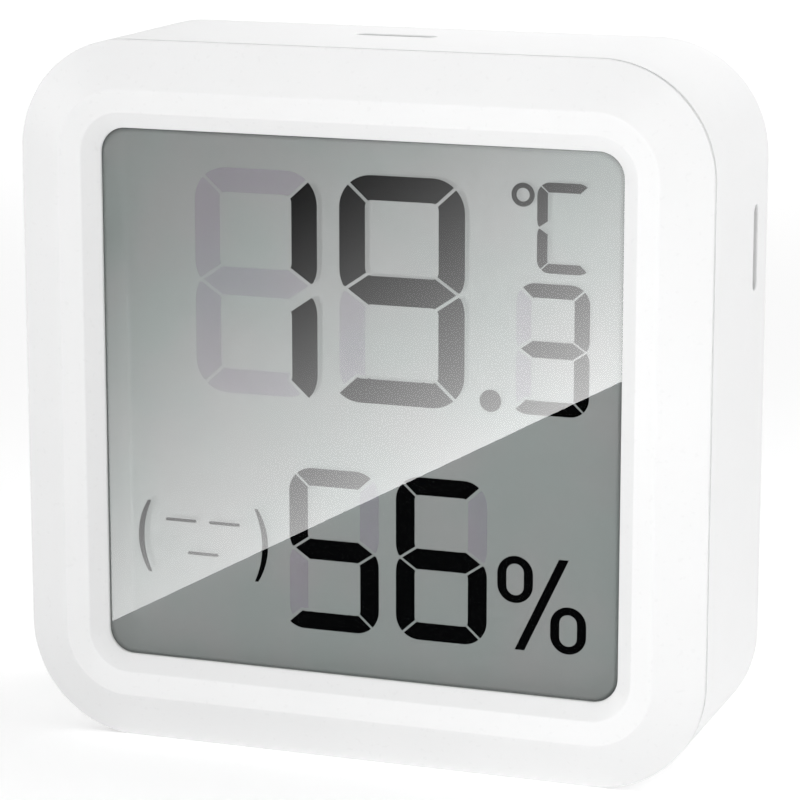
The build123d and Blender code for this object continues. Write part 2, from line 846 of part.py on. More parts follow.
# Rear housing: an open box with the cell's bay, the door's bayonet, a button guide and two vents
with BuildPart() as rear_housing:
    with BuildSketch(at_depth(rear_depth)):
        body_outline(0)
    extrude(amount=rear_depth - seam_gap)
    fillet(rear_housing.edges().group_by(Axis.Y)[-1], back_edge_radius)
    with BuildSketch(at_depth(seam_gap)):
        body_outline(seam_inset)
    extrude(amount=seam_gap)
    with BuildSketch(at_depth(back_inner_depth)):
        body_outline(wall)
    extrude(amount=back_inner_depth, mode=Mode.SUBTRACT)
    # Bay for the coin cell: thin beside the cell, thicker round the lugs, with a ledge for its can
    with BuildSketch(at_depth(back_inner_depth)):
        with Locations(bay_place):
            Circle(bay_outer_radius)
    extrude(amount=back_inner_depth - groove_floor_depth + bay_wall)
    with BuildSketch(at_depth(back_inner_depth)):
        with Locations(bay_place):
            Circle(bay_radius + bay_wall)
    extrude(amount=back_inner_depth - bay_front_depth)
    with BuildSketch(at_depth(rear_depth)):
        with Locations(bay_place):
            Circle(bay_radius)
    extrude(amount=rear_depth - can_front_depth, mode=Mode.SUBTRACT)
    with BuildSketch(at_depth(can_front_depth)):
        with Locations(bay_place):
            Circle(can_radius - bay_ledge_overlap)
    extrude(amount=can_front_depth - bay_front_depth, mode=Mode.SUBTRACT)
    # Bayonet: a seat for the door, notches that let its lugs in and pockets that they turn under
    with BuildSketch(at_depth(rear_depth)):
        with Locations(bay_place):
            Circle(door_radius + door_clearance)
    extrude(amount=rear_depth - door_seat_depth, mode=Mode.SUBTRACT)
    with BuildSketch(at_depth(rear_depth)):
        with Locations(bay_place):
            Circle(door_hole_radius)
            with PolarLocations(0, lug_count, start_angle=first_notch_angle - lug_start_arc):
                add(ring_sector(lug_hole_radius, 0, 2 * lug_start_arc))
    extrude(amount=rear_depth - groove_floor_depth, mode=Mode.SUBTRACT)
    with BuildSketch(at_depth(back_inner_depth)):
        with Locations(bay_place):
            with PolarLocations(0, lug_count, start_angle=first_notch_angle - lug_start_arc):
                add(ring_sector(lug_hole_radius, 0, door_turn + 2 * lug_start_arc))
    extrude(amount=back_inner_depth - groove_floor_depth, mode=Mode.SUBTRACT)
    # Slot in the bay's wall for the leaf that touches the can
    with BuildSketch(at_depth(contact_slot_depth)):
        with Locations((0, -bay_drop - bay_outer_radius)):
            Rectangle(contact_slot_width, 2 * (bay_outer_radius - can_radius + 2 * bay_ledge_overlap))
    extrude(amount=contact_slot_depth - bay_front_depth, mode=Mode.SUBTRACT)
    # Posts that press the board against the carrier
    with BuildSketch(at_depth(back_inner_depth)):
        with GridLocations(post_spread_across, post_spread_up, 2, 2):
            Circle(post_radius)
    extrude(amount=back_inner_depth - board_back_depth)
    # Guide and hole for the push button
    with BuildSketch(at_depth(back_inner_depth)):
        with Locations(button_place):
            Circle(button_flange_radius + button_clearance + guide_wall)
            Circle(button_flange_radius + button_clearance, mode=Mode.SUBTRACT)
    extrude(amount=guide_length)
    with BuildSketch(at_depth(rear_depth)):
        with Locations(button_place):
            Circle(button_radius + button_clearance)
    extrude(amount=back_wall, mode=Mode.SUBTRACT)
    # Pockets for the bezel's hooks
    with BuildSketch(at_depth(hook_depth + hook_height / 2 + hook_clearance)):
        with PolarLocations(body_side / 2 - wall, 4):
            Rectangle(
                2 * (hook_reach - skirt_clearance + hook_clearance), hook_length + 2 * hook_clearance
            )
    extrude(amount=hook_height + 2 * hook_clearance, mode=Mode.SUBTRACT)
    # Air slots in the top and in the right side
    with BuildSketch(Plane.XY.offset(body_side)):
        with Locations((top_vent_shift, seam_y + top_vent_depth_share * rear_depth)):
            SlotOverall(vent_length, vent_width)
    extrude(amount=-(wall + cut_overrun), mode=Mode.SUBTRACT)
    fillet(rear_housing.edges(Select.LAST).group_by(Axis.Z)[-1], vent_edge_radius)
    with BuildSketch(beside(body_side / 2)):
        with Locations((side_vent_depth_share * rear_depth, side_vent_up_share * body_side)):
            SlotOverall(vent_length, vent_width, rotation=90)
    extrude(amount=-(wall + cut_overrun), mode=Mode.SUBTRACT)
    fillet(rear_housing.edges(Select.LAST).group_by(Axis.X)[-1], vent_edge_radius)
    # A dot where the door's pointer stands when it is shut, and a ring where it comes free
    with BuildSketch(at_depth(rear_depth)):
        with Locations(bay_place):
            with PolarLocations(door_radius + mark_setback, 1, start_angle=first_lug_angle):
                Circle(mark_radius)
            with PolarLocations(door_radius + mark_setback, 1, start_angle=first_notch_angle):
                Circle(mark_radius)
                Circle(mark_radius / 2, mode=Mode.SUBTRACT)
    extrude(amount=mark_depth, mode=Mode.SUBTRACT)

# Battery door: a coin-slotted disc on a hollow pilot with bayonet lugs
with BuildPart() as battery_door:
    with BuildSketch(at_depth(door_outer_depth)):
        with Locations(bay_place):
            Circle(door_radius)
    extrude(amount=door_disc_thickness)
    fillet(battery_door.edges().group_by(Axis.Y)[-1], door_edge_radius)
    with BuildSketch(at_depth(disc_inner_depth)):
        with Locations(bay_place):
            Circle(pilot_radius)
    extrude(amount=disc_inner_depth - pilot_end_depth)
    with BuildSketch(at_depth(lug_outer_depth)):
        with Locations(bay_place):
            with PolarLocations(0, lug_count, start_angle=first_lug_angle - lug_arc / 2):
                add(ring_sector(lug_radius, 0, lug_arc))
    extrude(amount=lug_outer_depth - pilot_end_depth)
    with BuildSketch(at_depth(pilot_end_depth + pilot_hollow_depth)):
        with Locations(bay_place):
            Circle(pilot_radius - pilot_wall)
    extrude(amount=pilot_hollow_depth, mode=Mode.SUBTRACT)
    with BuildSketch(at_depth(door_outer_depth)):
        with Locations(bay_place):
            SlotOverall(coin_slot_length, coin_slot_width)
    extrude(amount=coin_slot_depth, mode=Mode.SUBTRACT)
    with BuildSketch(at_depth(door_outer_depth)):
        with Locations(bay_place):
            with PolarLocations(door_radius - mark_setback, 1, start_angle=first_lug_angle):
                RegularPolygon(mark_radius * 2, 3)
    extrude(amount=mark_depth, mode=Mode.SUBTRACT)

# Switch on the board, its plunger, and the button that reaches it through the housing
with BuildPart() as switch_body:
    with BuildSketch(at_depth(board_back_depth + switch_height)):
        with Locations(button_place):
            Rectangle(switch_side, switch_side)
    extrude(amount=switch_height)
    chamfer(switch_body.edges().group_by(Axis.Y)[-1], switch_edge)
    with BuildSketch(at_depth(board_back_depth + switch_height)):
        with Locations(button_place):
            Circle(plunger_radius + plunger_clearance)
    extrude(amount=plunger_engagement + button_travel + plunger_floor_gap, mode=Mode.SUBTRACT)

with BuildPart() as switch_plunger:
    with BuildSketch(at_depth(plunger_top_depth)):
        with Locations(button_place):
            Circle(plunger_radius)
    extrude(amount=plunger_height + plunger_engagement)

with BuildPart() as push_button:
    with BuildSketch(at_depth(rear_depth - button_recess)):
        with Locations(button_place):
            Circle(button_radius)
    extrude(amount=rear_depth - button_recess - flange_depth)
    fillet(push_button.edges().group_by(Axis.Y)[-1], button_edge_radius)
    with BuildSketch(at_depth(flange_depth)):
        with Locations(button_place):
            Circle(button_flange_radius)
    extrude(amount=button_flange_thickness)
    with BuildSketch(at_depth(flange_depth - button_flange_thickness)):
        with Locations(button_place):
            Circle(button_stem_radius)
    extrude(amount=flange_depth - button_flange_thickness - plunger_top_depth)

pieces = dict(
    front_bezel=front_bezel,
    lens_tape=lens_tape,
    window_lens=window_lens,
    front_polariser=front_polariser,
    front_glass=front_glass,
    edge_seal=edge_seal,
    lit_segments=lit_segments,
    idle_segments=idle_segments,
    rear_glass=rear_glass,
    reflector_film=reflector_film,
    display_carrier=display_carrier,
    contact_strip=contact_strip,
    circuit_board=circuit_board,
    display_pads=display_pads,
    board_screws=board_screws,
    radio_chip=radio_chip,
    timing_crystal=timing_crystal,
    humidity_sensor=humidity_sensor,
    capacitors=capacitors,
    resistors=resistors,
    antenna_trace=antenna_trace,
    cell_can=cell_can,
    cell_cap=cell_cap,
    cell_gasket=cell_gasket,
    lithium_disc=lithium_disc,
    cell_separator=cell_separator,
    cathode_pellet=cathode_pellet,
    negative_contact=negative_contact,
    positive_contact=positive_contact,
    rear_housing=rear_housing,
    battery_door=battery_door,
    switch_body=switch_body,
    switch_plunger=switch_plunger,
    push_button=push_button,
)
os.makedirs("parts", exist_ok=True)
for label, piece in pieces.items():
    piece.part.label = label
    export_step(piece.part, f"parts/{label}.step")
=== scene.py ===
"""A small square temperature and humidity sensor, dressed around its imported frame.

The front bezel and the window are modelled here over their CAD solids. Every other piece keeps
its CAD mesh and gets the finish that it has on the real product. All lengths are metres.
"""

import logging
import math
from collections.abc import Callable
from dataclasses import dataclass
from enum import Enum
from functools import cached_property

import bmesh
import bpy
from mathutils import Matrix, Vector


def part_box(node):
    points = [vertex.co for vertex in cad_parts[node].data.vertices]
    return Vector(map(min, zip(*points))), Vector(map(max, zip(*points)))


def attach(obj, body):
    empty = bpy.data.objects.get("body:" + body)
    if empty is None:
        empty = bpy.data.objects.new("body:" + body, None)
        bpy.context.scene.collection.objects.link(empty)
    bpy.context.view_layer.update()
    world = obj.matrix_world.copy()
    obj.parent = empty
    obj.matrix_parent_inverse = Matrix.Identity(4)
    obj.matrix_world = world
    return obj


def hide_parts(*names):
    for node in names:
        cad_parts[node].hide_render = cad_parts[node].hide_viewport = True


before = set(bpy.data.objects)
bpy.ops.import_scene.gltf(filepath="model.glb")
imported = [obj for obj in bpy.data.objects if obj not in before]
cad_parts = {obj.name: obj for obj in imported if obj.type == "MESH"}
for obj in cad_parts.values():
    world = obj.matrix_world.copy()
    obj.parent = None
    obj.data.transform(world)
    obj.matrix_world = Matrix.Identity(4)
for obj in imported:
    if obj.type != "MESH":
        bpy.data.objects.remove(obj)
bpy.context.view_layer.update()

log = logging.getLogger("sensor")

MM = 0.001
NEAR = 0.01 * MM
FACING = 0.99
SHOWING_RAYS = ("Camera", "Glossy", "Transmission")
Colour = tuple[float, float, float]
WHITE: Colour = (1.0, 1.0, 1.0)
BLACK: Colour = (0.0, 0.0, 0.0)


def shade(colour: Colour, factor: float) -> Colour:
    """Returns a colour made darker or lighter by a factor."""
    return tuple(min(channel * factor, 1.0) for channel in colour)


class Wire:
    """A socket's output, with Python's operators adding Math nodes to its tree."""

    def __init__(self, recipe: "Recipe", socket: bpy.types.NodeSocket) -> None:
        """Wraps one output socket of a recipe's tree."""
        self.recipe = recipe
        self.socket = socket

    def math(self, operation: str, *values: "Wire | float") -> "Wire":
        """Adds a Math node of an operation, with its values in order."""
        return self.recipe.node("ShaderNodeMath", {"operation": operation}, dict(enumerate(values)))

    def __add__(self, other: "Wire | float") -> "Wire":
        """Sum."""
        return self.math("ADD", self, other)

    __radd__ = __add__

    def __sub__(self, other: "Wire | float") -> "Wire":
        """Difference."""
        return self.math("SUBTRACT", self, other)

    def __rsub__(self, other: float) -> "Wire":
        """Difference from a plain number."""
        return self.math("SUBTRACT", other, self)

    def __mul__(self, other: "Wire | float") -> "Wire":
        """Product."""
        return self.math("MULTIPLY", self, other)

    __rmul__ = __mul__

    def __truediv__(self, other: "Wire | float") -> "Wire":
        """Quotient."""
        return self.math("DIVIDE", self, other)

    def __rtruediv__(self, other: float) -> "Wire":
        """Quotient of a plain number."""
        return self.math("DIVIDE", other, self)

    def __pow__(self, other: "Wire | float") -> "Wire":
        """Power."""
        return self.math("POWER", self, other)

    def __abs__(self) -> "Wire":
        """Absolute value."""
        return self.math("ABSOLUTE", self)

    def above(self, limit: "Wire | float") -> "Wire":
        """Returns one where the value is over a limit, and zero elsewhere."""
        return self.math("GREATER_THAN", self, limit)

    def below(self, limit: "Wire | float") -> "Wire":
        """Returns one where the value is under a limit, and zero elsewhere."""
        return self.math("LESS_THAN", self, limit)

    def at_least(self, limit: "Wire | float") -> "Wire":
        """Returns the larger of the value and a limit."""
        return self.math("MAXIMUM", self, limit)

    def at_most(self, limit: "Wire | float") -> "Wire":
        """Returns the smaller of the value and a limit."""
        return self.math("MINIMUM", self, limit)

    def wave(self, pitch: float) -> "Wire":
        """Returns a sine of the value that repeats at a pitch and runs from minus one to one."""
        return self.math("SINE", self * (2 * math.pi / pitch))

    def ramp(self, low: float, high: float) -> "Wire":
        """Returns the value spread from zero at a low limit to one at a high limit, smoothed."""
        settings = {"interpolation_type": "SMOOTHSTEP"}
        return self.recipe.node("ShaderNodeMapRange", settings, {"Value": self, 1: low, 2: high})


class Recipe:
    """A material or a world under construction, with its node tree."""

    def __init__(self, name: str, library: bpy.types.bpy_prop_collection | None = None) -> None:
        """Starts an empty tree.

        Args:
            name: The material's name.
            library: Where it is made, if it isn't a material.
        """
        library = bpy.data.materials if library is None else library
        self.owner = library.new(name)
        self.owner.use_nodes = True
        self.tree = self.owner.node_tree
        self.tree.nodes.clear()

    @cached_property
    def place(self) -> Wire:
        """The place on the piece, in the piece's own coordinates."""
        return self.node("ShaderNodeTexCoord", output="Object")

    def node(
        self, kind: str, settings: dict | None = None, inputs: dict | None = None, output: str | int = 0
    ) -> Wire:
        """Adds a node.

        Args:
            kind: The node's type.
            settings: Properties of the node, set before its sockets.
            inputs: Values, colours or wires by the sockets' names or numbers.
            output: The name or number of the output that is returned.

        Returns:
            The chosen output, or the node's own first input where it has no output.
        """
        made = self.tree.nodes.new(kind)
        for name, value in (settings or {}).items():
            setattr(made, name, value)
        for name, value in (inputs or {}).items():
            socket = made.inputs[name]
            if isinstance(value, Wire):
                self.tree.links.new(value.socket, socket)
            else:
                socket.default_value = (*value, 1.0) if socket.type == "RGBA" else value
        return Wire(self, made.outputs[output] if made.outputs else made.inputs[0])

    def axes(self) -> tuple[Wire, Wire, Wire]:
        """Returns the place's three coordinates in metres."""
        return tuple(
            self.node("ShaderNodeSeparateXYZ", inputs={0: self.place}, output=axis) for axis in "XYZ"
        )

    def stretched(self, x: float, y: float, z: float) -> Wire:
        """Returns the place with each axis scaled, for a pattern that is drawn out."""
        return self.node(
            "ShaderNodeVectorMath", {"operation": "MULTIPLY"}, {0: self.place, 1: (x, y, z)}
        )

    def noise(self, size: float, detail: float, place: Wire | None = None) -> Wire:
        """Returns noise from zero to one, with clouds of a size and with finer octaves."""
        inputs = {"Vector": place or self.place, "Scale": 1 / size, "Detail": detail}
        return self.node("ShaderNodeTexNoise", inputs=inputs, output="Fac")

    def cells(self, size: float, place: Wire | None = None) -> Wire:
        """Returns the distance to the nearest of scattered cell centres, about a size apart."""
        inputs = {"Vector": place or self.place, "Scale": 1 / size}
        return self.node("ShaderNodeTexVoronoi", inputs=inputs, output="Distance")

    def blend(self, factor: Wire, first: Wire | Colour, second: Wire | Colour) -> Wire:
        """Returns a colour between two, by a factor from zero to one."""
        settings = {"data_type": "RGBA", "clamp_factor": True}
        return self.node("ShaderNodeMix", settings, {0: factor, 6: first, 7: second}, 2)

    def bump(self, height: Wire, depth: float) -> Wire:
        """Returns a normal that is tilted by a height map of a given depth in metres."""
        return self.node("ShaderNodeBump", inputs={"Height": height, "Distance": depth})

    def principled(self, **inputs: Wire | float | Colour) -> Wire:
        """Adds a Principled shader, its sockets named with underscores for spaces."""
        values = {name.replace("_", " "): value for name, value in inputs.items()}
        return self.node("ShaderNodeBsdfPrincipled", inputs=values)

    def glowing(self, colour: Wire | Colour, glow: Wire) -> Wire:
        """Adds a matt shader without a shine that also glows white by itself."""
        matt = {"Roughness": 1.0, "Specular_IOR_Level": 0.0}
        return self.principled(Base_Color=colour, Emission_Color=glow, Emission_Strength=1.0, **matt)

    def clear(self, tint: Colour = WHITE) -> Wire:
        """Adds a shader that lets all light through, tinted."""
        return self.node("ShaderNodeBsdfTransparent", inputs={"Color": tint})

    def mixed(self, factor: Wire | float, first: Wire, second: Wire) -> Wire:
        """Returns a shader between two others."""
        return self.node("ShaderNodeMixShader", inputs={0: factor, 1: first, 2: second})

    def seen(self) -> Wire:
        """Returns one on rays that show a thing straight, mirrored or through glass, else zero."""
        rays = [self.node("ShaderNodeLightPath", output=f"Is {kind} Ray") for kind in SHOWING_RAYS]
        return rays[0].at_least(rays[1]).at_least(rays[2])

    def surface(
        self, shader: Wire, output: str = "ShaderNodeOutputMaterial"
    ) -> bpy.types.Material | bpy.types.World:
        """Ends the tree with a shader as its surface, and returns what the tree belongs to."""
        self.node(output, inputs={"Surface": shader})
        return self.owner

    def finished(self, **inputs: Wire | float | Colour) -> bpy.types.Material:
        """Ends the recipe with one Principled shader."""
        return self.surface(self.principled(**inputs))


@dataclass(frozen=True)
class Finish:
    """A surface that pieces are given, with the name of its material."""

    name: str

    def material(self) -> bpy.types.Material:
        """Builds the material."""
        raise NotImplementedError


Finishes = tuple[tuple[Finish | str, ...], ...]


@dataclass(frozen=True)
class MouldedPlastic(Finish):
    """Injection moulded plastic with a fine spark-eroded grain and a slight drift of tone."""

    colour: Colour
    roughness: float = 0.42
    grain: float = 0.16 * MM
    relief: float = 0.0012 * MM
    drift: float = 0.02
    flow: float = 7 * MM
    specular: float = 0.4
    speck_share: float = 0.12
    speck_shade: float = 0.8

    def material(self) -> bpy.types.Material:
        """Builds the plastic's material.

        Returns:
            The material.
        """
        recipe = Recipe(self.name)
        flow = recipe.noise(self.flow, 3.0)
        grain = recipe.cells(self.grain)
        fine = recipe.noise(self.grain / 2, 1.0)
        speck = recipe.noise(self.grain * 1.7, 0.0).ramp(0.72, 0.8) * self.speck_share
        tone = recipe.blend(flow, shade(self.colour, 1 - self.drift), shade(self.colour, 1 + self.drift))
        return recipe.finished(
            Base_Color=recipe.blend(speck, tone, shade(self.colour, self.speck_shade)),
            Roughness=self.roughness - 0.03 + 0.06 * flow + 0.04 * (grain - 0.5),
            Specular_IOR_Level=self.specular,
            Normal=recipe.bump(grain * 0.7 + fine * 0.3, self.relief),
        )


@dataclass(frozen=True)
class ClearSheet(Finish):
    """A thin clear layer that lets what lies behind it through, with a faint tint and haze."""

    tint: Colour
    cover: float
    roughness: float = 0.08
    ripple: float = 3 * MM
    relief: float = 0.002 * MM

    def material(self) -> bpy.types.Material:
        """Builds the layer's material.

        Returns:
            The material.
        """
        recipe = Recipe(self.name)
        ripple = recipe.noise(self.ripple, 2.0)
        haze = recipe.noise(self.ripple / 6, 1.0)
        film = recipe.principled(
            Base_Color=recipe.blend(ripple, self.tint, shade(self.tint, 1.06)),
            Roughness=self.roughness + 0.08 * haze,
            Specular_IOR_Level=0.1,
            Normal=recipe.bump(ripple, self.relief),
        )
        return recipe.surface(recipe.mixed(self.cover * (0.8 + 0.4 * ripple), recipe.clear(), film))


@dataclass(frozen=True)
class WindowPane(Finish):
    """Polished clear plastic with a narrow dark line round the edge of its opening."""

    centre: Vector
    half_opening: float
    corner: float
    front: float
    skin: float = 0.05 * MM
    tint: Colour = (0.99, 1.0, 0.995)
    line_width: float = 0.06 * MM
    line_blur: float = 0.03 * MM
    line_colour: Colour = (0.13, 0.15, 0.145)
    line_cover: float = 0.3
    smear: float = 9 * MM
    refraction: float = 1.8
    polish: float = 0.0

    def edge_distance(self, recipe: Recipe) -> Wire:
        """Finds how far a point lies outside the opening's rounded square.

        Args:
            recipe: The window's recipe.

        Returns:
            The distance, negative inside.
        """
        across, _, up = recipe.axes()
        straight = self.half_opening - self.corner
        beside = abs(across - self.centre.x) - straight
        over = abs(up - self.centre.z) - straight
        outer = (beside.at_least(0.0) ** 2.0 + over.at_least(0.0) ** 2.0) ** 0.5
        return outer - self.corner + beside.at_least(over).at_most(0.0)

    def material(self) -> bpy.types.Material:
        """Builds the window's material: clear all through, glossy on its front face.

        Returns:
            The material.
        """
        recipe = Recipe(self.name)
        _, depth, _ = recipe.axes()
        on_front = depth.below(self.front + self.skin)
        smear = recipe.noise(self.smear, 4.0)
        # A narrow dark line just inside the opening's edge darkens the window there.
        line = self.edge_distance(recipe).ramp(-self.line_width - self.line_blur, -self.line_width)
        edge_line_shader = recipe.principled(
            Base_Color=recipe.blend(smear, self.line_colour, shade(self.line_colour, 1.1)),
            Roughness=0.4 + 0.1 * smear,
            Specular_IOR_Level=0.1,
        )
        shine = {"Color": WHITE, "Roughness": self.polish}
        gloss = recipe.node("ShaderNodeBsdfAnisotropic", inputs=shine)
        fresnel = recipe.node("ShaderNodeFresnel", inputs={"IOR": self.refraction})
        body = recipe.mixed(line * on_front * self.line_cover, recipe.clear(self.tint), edge_line_shader)
        return recipe.surface(recipe.mixed(fresnel * on_front, body, gloss))


@dataclass(frozen=True)
class LiquidCrystal(Finish):
    """The figures of the display: a film of slightly uneven density, dotted with spacers."""

    colour: Colour
    cover: float
    unevenness: float = 0.1
    cloud: float = 2.5 * MM
    spacer_pitch: float = 0.12 * MM

    def material(self) -> bpy.types.Material:
        """Builds the film's material.

        Returns:
            The material.
        """
        recipe = Recipe(self.name)
        cloud = recipe.noise(self.cloud, 2.0)
        spacer = recipe.cells(self.spacer_pitch).below(0.05)
        tone = recipe.blend(cloud, self.colour, shade(self.colour, 1.12))
        film = recipe.principled(
            Base_Color=recipe.blend(spacer * 0.3, tone, shade(self.colour, 1.5)),
            Roughness=0.5 + 0.1 * cloud,
            Specular_IOR_Level=0.0,
        )
        cover = self.cover * (1.0 - self.unevenness * cloud)
        return recipe.surface(recipe.mixed(cover, recipe.clear(), film))


@dataclass(frozen=True)
class ReflectorFilm(Finish):
    """The grey-green film behind the display, finely brushed across."""

    colour: Colour = (0.236, 0.256, 0.251)
    warm: Colour = (0.255, 0.256, 0.256)
    roughness: float = 0.12
    cloud: float = 6 * MM
    strand_length: float = 3 * MM
    strand_width: float = 0.08 * MM
    relief: float = 0.0001 * MM

    def material(self) -> bpy.types.Material:
        """Builds the film's material.

        Returns:
            The material.
        """
        recipe = Recipe(self.name)
        along, across = 1 / self.strand_length, 1 / self.strand_width
        strand = recipe.noise(1.0, 2.0, recipe.stretched(along, along, across))
        tone = recipe.blend(recipe.noise(self.cloud, 2.0).ramp(0.3, 0.7), self.colour, self.warm)
        return recipe.finished(
            Base_Color=recipe.blend(strand * 0.1, tone, shade(self.colour, 1.25)),
            Roughness=self.roughness + 0.03 * strand,
            Normal=recipe.bump(strand, self.relief),
        )


@dataclass(frozen=True)
class LayeredRubber(Finish):
    """Contact strip: thin conductive and insulating layers side by side along its length."""

    dark: Colour = (0.012, 0.012, 0.014)
    pale: Colour = (0.42, 0.36, 0.34)
    pitch: float = 0.18 * MM
    wander: float = 0.02 * MM
    cloud: float = 0.4 * MM
    relief: float = 0.006 * MM

    def material(self) -> bpy.types.Material:
        """Builds the rubber's material.

        Returns:
            The material.
        """
        recipe = Recipe(self.name)
        across, _, _ = recipe.axes()
        uneven = recipe.noise(self.cloud, 2.0)
        layer = (across + self.wander * uneven).wave(self.pitch).ramp(-0.3, 0.3)
        return recipe.finished(
            Base_Color=recipe.blend(layer, self.dark, self.pale),
            Roughness=0.62 + 0.12 * uneven,
            Normal=recipe.bump(layer + uneven, self.relief),
        )


@dataclass(frozen=True)
class BoardLaminate(Finish):
    """Glass cloth laminate under a green solder mask, with copper runs showing through."""

    mask: Colour = (0.012, 0.11, 0.045)
    run: Colour = (0.03, 0.2, 0.08)
    thread: float = 0.45 * MM
    run_pitch: float = 1.6 * MM
    run_bend: float = 4 * MM
    bend_length: float = 5 * MM
    island: float = 4 * MM
    relief: float = 0.02 * MM

    def material(self) -> bpy.types.Material:
        """Builds the board's material.

        Returns:
            The material.
        """
        recipe = Recipe(self.name)
        across, _, up = recipe.axes()
        warp, weft = (along.wave(self.thread) * 0.5 + 0.5 for along in (across, up))
        bend = recipe.noise(self.bend_length, 0.0) * self.run_bend
        runs = abs((across + up * 0.5 + bend).wave(self.run_pitch)).above(0.86)
        islands = recipe.noise(self.island, 0.0).ramp(0.45, 0.5)
        copper = (runs * islands).at_most(1.0)
        return recipe.finished(
            Base_Color=recipe.blend(copper, self.mask, self.run),
            Roughness=0.28 + 0.1 * warp * weft,
            Coat_Weight=0.3 * islands,
            Normal=recipe.bump(copper + 0.15 * warp * weft, self.relief),
        )


class Polish(Enum):
    """How a metal's surface was worked: how far its marks reach along each axis, in millimetres."""

    BRUSHED_ACROSS = (0.06, 3.0, 0.06)
    BRUSHED_UP = (3.0, 0.06, 0.06)
    TUMBLED = (0.3, 0.3, 0.3)


@dataclass(frozen=True)
class PlatedMetal(Finish):
    """Plated or bright metal with fine working marks, small scratches and duller patches."""

    colour: Colour
    roughness: float = 0.28
    polish: Polish = Polish.TUMBLED
    dull: float = 0.8
    patch: float = 2.2 * MM
    scratches: tuple[float, float, float] = (2500.0, 2500.0, 160.0)
    relief: float = 0.0015 * MM

    def material(self) -> bpy.types.Material:
        """Builds the metal's material.

        Returns:
            The material.
        """
        recipe = Recipe(self.name)
        stretch = [1 / (reach * MM) for reach in self.polish.value]
        marks = recipe.noise(1.0, 3.0, recipe.stretched(*stretch))
        patches = recipe.noise(self.patch, 3.0)
        scratch = recipe.cells(1.0, recipe.stretched(*self.scratches)).below(0.06)
        tone = recipe.blend(patches, shade(self.colour, self.dull), self.colour)
        return recipe.finished(
            Base_Color=recipe.blend(scratch * 0.25, tone, shade(self.colour, 1.2)),
            Metallic=1.0,
            Roughness=self.roughness + 0.14 * marks + 0.08 * patches,
            Normal=recipe.bump(marks - scratch * 0.5, self.relief),
        )


@dataclass(frozen=True)
class EndCappedCeramic(Finish):
    """A chip part: a ceramic body with a tinned cap at each end across."""

    body: Colour
    centre: float
    half_length: float
    cap_length: float
    tin: Colour = (0.66, 0.66, 0.65)
    raggedness: float = 0.05 * MM
    rag: float = 0.15 * MM
    pore: float = 0.06 * MM
    relief: float = 0.01 * MM

    def material(self) -> bpy.types.Material:
        """Builds the part's material.

        Returns:
            The material.
        """
        recipe = Recipe(self.name)
        across, _, _ = recipe.axes()
        ragged = (recipe.noise(self.rag, 2.0) - 0.5) * self.raggedness
        cap = (self.half_length - abs(across - self.centre) + ragged).below(self.cap_length)
        pores = recipe.noise(self.pore, 2.0)
        ceramic = recipe.blend(pores, shade(self.body, 0.85), self.body)
        return recipe.finished(
            Base_Color=recipe.blend(cap, ceramic, self.tin),
            Metallic=cap,
            Roughness=0.5 - 0.2 * cap + 0.1 * pores,
            Normal=recipe.bump(pores + cap, self.relief),
        )


@dataclass(frozen=True)
class PressedGrain(Finish):
    """Pressed powder or soft metal foil with a granular, matt face."""

    colour: Colour
    grain: float = 0.1 * MM
    relief: float = 0.008 * MM
    roughness: float = 0.75
    metallic: float = 0.0

    def material(self) -> bpy.types.Material:
        """Builds the powder's material.

        Returns:
            The material.
        """
        recipe = Recipe(self.name)
        grain = recipe.noise(self.grain, 3.0)
        cloud = recipe.noise(self.grain * 14, 2.0)
        tone = recipe.blend(grain, shade(self.colour, 0.75), shade(self.colour, 1.2))
        return recipe.finished(
            Base_Color=recipe.blend(cloud * 0.3, tone, shade(self.colour, 1.3)),
            Metallic=self.metallic,
            Roughness=self.roughness - 0.1 + 0.2 * cloud,
            Normal=recipe.bump(grain, self.relief),
        )


class Weave(Enum):
    """How the threads of a sheet lie."""

    FINE_PAPER = "fine paper"
    GLASS_CLOTH = "glass cloth"


@dataclass(frozen=True)
class ThinWeave(Finish):
    """A thin sheet of threads that cross: the cell's separator and the window's tape carrier."""

    colour: Colour
    weave: Weave
    pitch: float
    relief: float = 0.01 * MM
    sheen: float = 0.2

    def material(self) -> bpy.types.Material:
        """Builds the sheet's material.

        Returns:
            The material.
        """
        recipe = Recipe(self.name)
        across, _, up = recipe.axes()
        wander = recipe.noise(self.pitch * 5, 2.0) * self.pitch
        strands = abs((across + wander).wave(self.pitch)) * abs((up + wander).wave(self.pitch))
        fibres = recipe.noise(self.pitch * 2, 4.0, recipe.stretched(1.0, 1.0, 0.3))
        threads = strands if self.weave is Weave.GLASS_CLOTH else fibres
        return recipe.finished(
            Base_Color=recipe.blend(threads, shade(self.colour, 0.82), self.colour),
            Roughness=0.7 + 0.15 * fibres,
            Sheen_Weight=self.sheen,
            Normal=recipe.bump(threads, self.relief),
        )


class Element(Enum):
    """What is picked from a mesh."""

    FACES = "FACE"
    EDGES = "EDGE"


